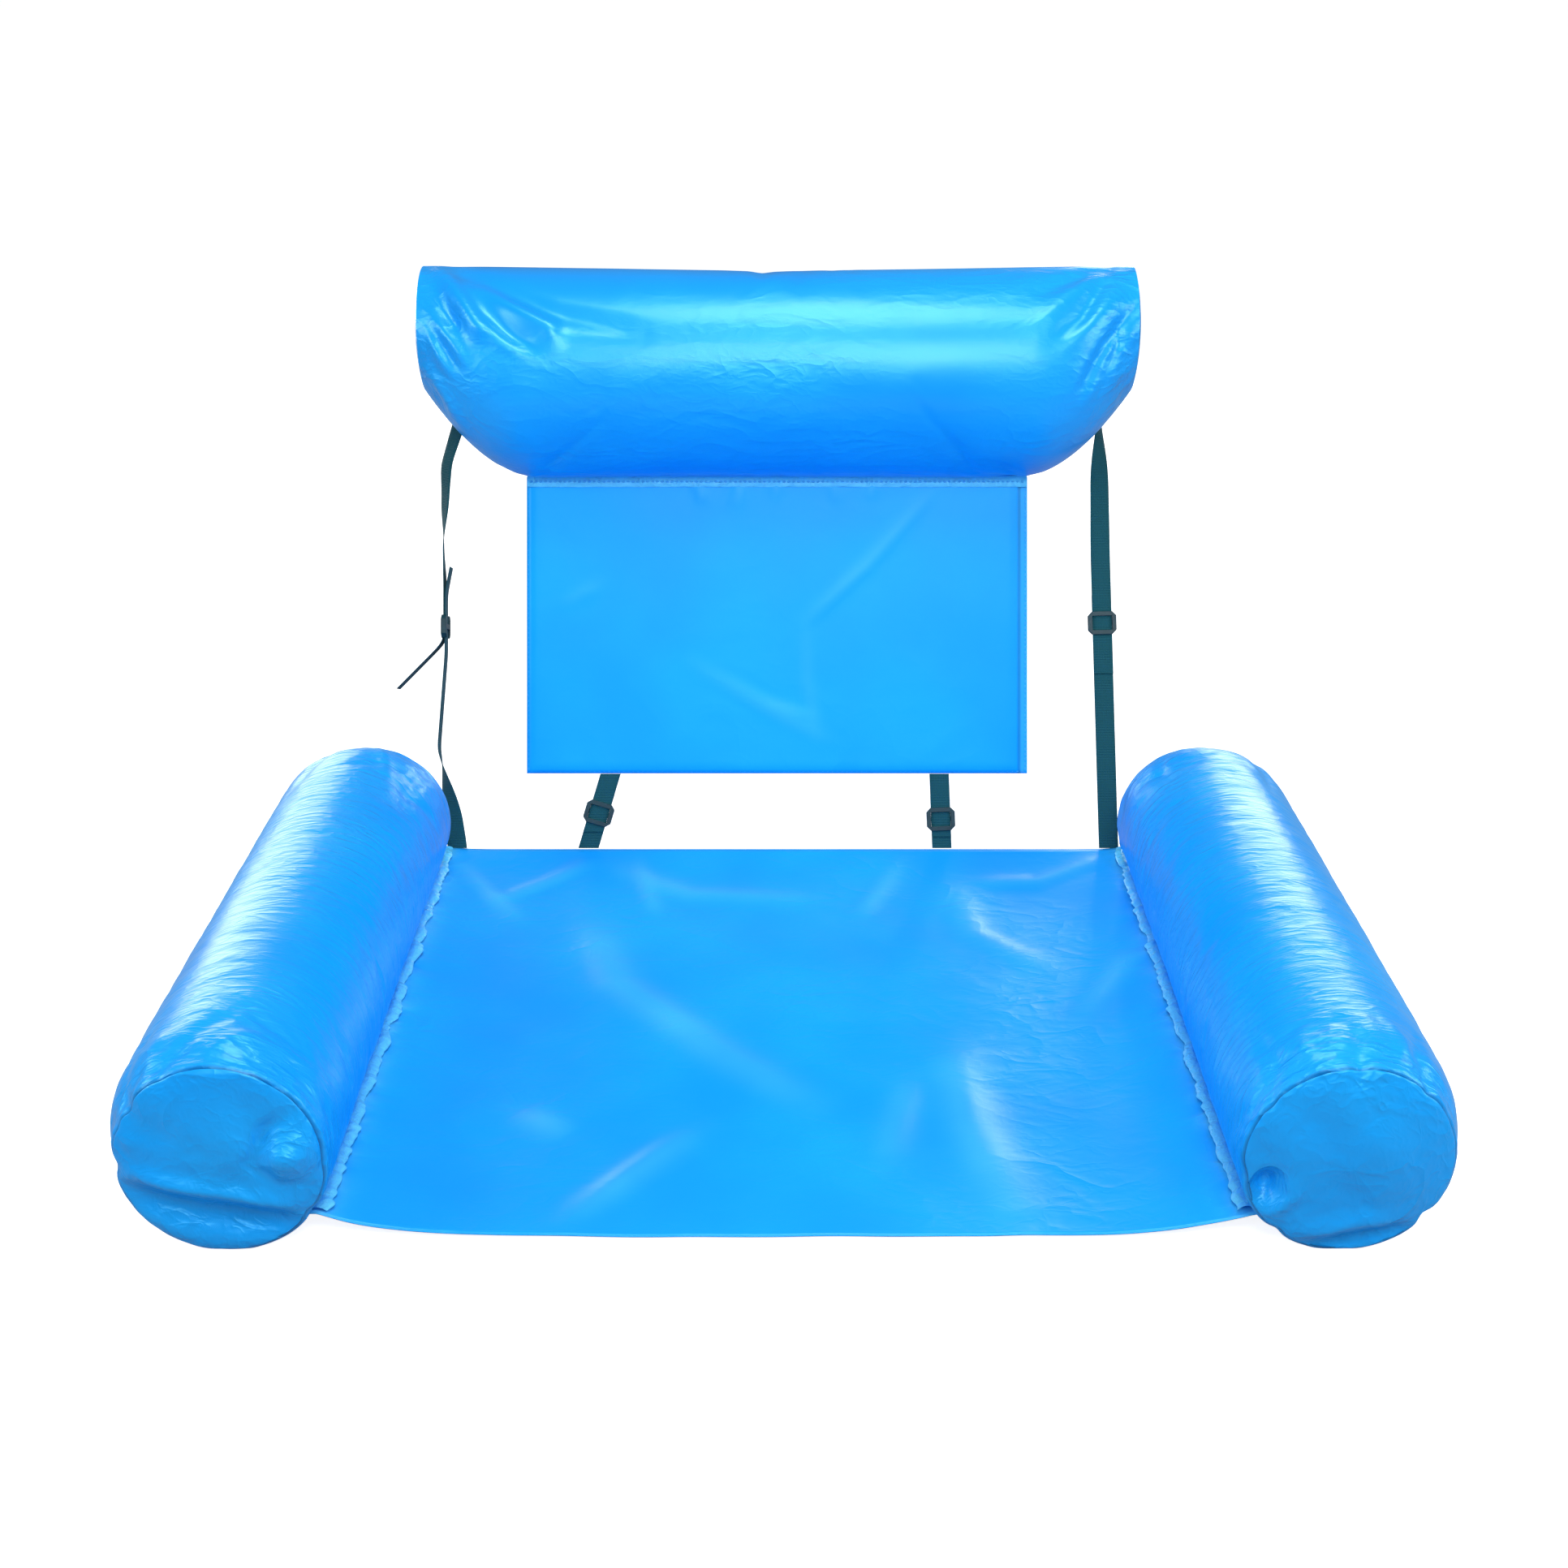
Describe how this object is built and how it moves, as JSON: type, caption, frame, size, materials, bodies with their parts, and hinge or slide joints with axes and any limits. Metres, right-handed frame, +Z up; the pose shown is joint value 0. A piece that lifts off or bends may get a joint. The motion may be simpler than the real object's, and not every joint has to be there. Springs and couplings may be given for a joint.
{
  "type": "inflatable water hammock",
  "caption": "Pool lounge hammock: nylon seat slung between two inflated armrests, with a back panel and an inflated headrest held by adjustable webbing straps with slider buckles",
  "frame": {"origin": "on the floor, under the middle of the object's bounding box", "axes": "+X to the sitter's left as seen from the front (picture right), +Y to the back, +Z up; the open front faces -Y"},
  "size_m": [0.9969, 0.9553, 0.5868],
  "materials": {
    "nylon": "satin",
    "webbing": "matte",
    "buckle_plastic": "satin",
    "bladder_film": "gloss",
    "valve_plastic": "satin",
    "foam": "matte"
  },
  "bodies": {
    "seat": {"seat_panel": "nylon", "left_corner_loop": "nylon", "right_corner_loop": "nylon"},
    "left_armrest": {"left_armrest_sleeve": "nylon", "left_armrest_front_cap": "nylon", "left_armrest_rear_cap": "nylon", "left_armrest_bladder": "bladder_film", "left_armrest_valve_seat": "valve_plastic"},
    "left_armrest_plug": {"left_armrest_valve_plug": "valve_plastic"},
    "right_armrest": {"right_armrest_sleeve": "nylon", "right_armrest_front_cap": "nylon", "right_armrest_rear_cap": "nylon", "right_armrest_bladder": "bladder_film", "right_armrest_valve_seat": "valve_plastic"},
    "right_armrest_plug": {"right_armrest_valve_plug": "valve_plastic"},
    "backrest": {"back_panel_cover": "nylon", "back_panel_stiffener": "foam", "left_side_strap_upper": "webbing", "left_side_strap_lower": "webbing", "right_side_strap_upper": "webbing", "right_side_strap_lower": "webbing", "left_lower_strap_upper": "webbing", "left_lower_strap_lower": "webbing", "right_lower_strap_upper": "webbing", "right_lower_strap_lower": "webbing"},
    "headrest": {"headrest_sleeve": "nylon", "headrest_left_cap": "nylon", "headrest_right_cap": "nylon", "headrest_bladder": "bladder_film", "headrest_valve_seat": "valve_plastic"},
    "headrest_plug": {"headrest_valve_plug": "valve_plastic"},
    "left_side_strap_slider": {"left_side_strap_buckle": "buckle_plastic"},
    "right_side_strap_slider": {"right_side_strap_buckle": "buckle_plastic"},
    "left_lower_strap_slider": {"left_lower_strap_buckle": "buckle_plastic"},
    "right_lower_strap_slider": {"right_lower_strap_buckle": "buckle_plastic"}
  },
  "joints": [
    {"name": "backrest_recline", "type": "hinge", "parent": "seat", "child": "backrest", "pos_m": [0, 0.221, 0.02237], "axis": [-1, 0, 0], "range_deg": [-75, 60], "deforming": ["left_side_strap_lower", "right_side_strap_lower"]},
    {"name": "headrest_tilt", "type": "hinge", "parent": "backrest", "child": "headrest", "pos_m": [0, 0.36411, 0.37657], "axis": [1, 0, 0], "range_deg": [-15, 20], "deforming": ["left_side_strap_upper", "right_side_strap_upper"]},
    {"name": "left_armrest_fold", "type": "hinge", "parent": "seat", "child": "left_armrest", "pos_m": [-0.356, -0.114, 0.0236], "axis": [0, 1, 0], "range_deg": [0, 45]},
    {"name": "right_armrest_fold", "type": "hinge", "parent": "seat", "child": "right_armrest", "pos_m": [0.356, -0.114, 0.0236], "axis": [0, -1, 0], "range_deg": [0, 45]},
    {"name": "left_side_buckle_slide", "type": "slide", "parent": "backrest", "child": "left_side_strap_slider", "axis": [0, -0.3746, -0.9272], "range_m": [-0.018, 0]},
    {"name": "right_side_buckle_slide", "type": "slide", "parent": "backrest", "child": "right_side_strap_slider", "axis": [0.03, -0.3744, -0.9268], "range_m": [-0.012, 0.03]},
    {"name": "left_lower_buckle_slide", "type": "slide", "parent": "backrest", "child": "left_lower_strap_slider", "axis": [-0.2864, -0.3589, -0.8884], "range_m": [-0.008, 0.006]},
    {"name": "right_lower_buckle_slide", "type": "slide", "parent": "backrest", "child": "right_lower_strap_slider", "axis": [0.0389, -0.3743, -0.9265], "range_m": [-0.01, 0.004]},
    {"name": "left_armrest_plug_pull", "type": "slide", "parent": "left_armrest", "child": "left_armrest_plug", "axis": [0, 1, 0], "range_m": [0, 0.012]},
    {"name": "right_armrest_plug_pull", "type": "slide", "parent": "right_armrest", "child": "right_armrest_plug", "axis": [0, 1, 0], "range_m": [0, 0.012]},
    {"name": "headrest_plug_pull", "type": "slide", "parent": "headrest", "child": "headrest_plug", "axis": [0, 0.9272, -0.3746], "range_m": [0, 0.012]}
  ]
}
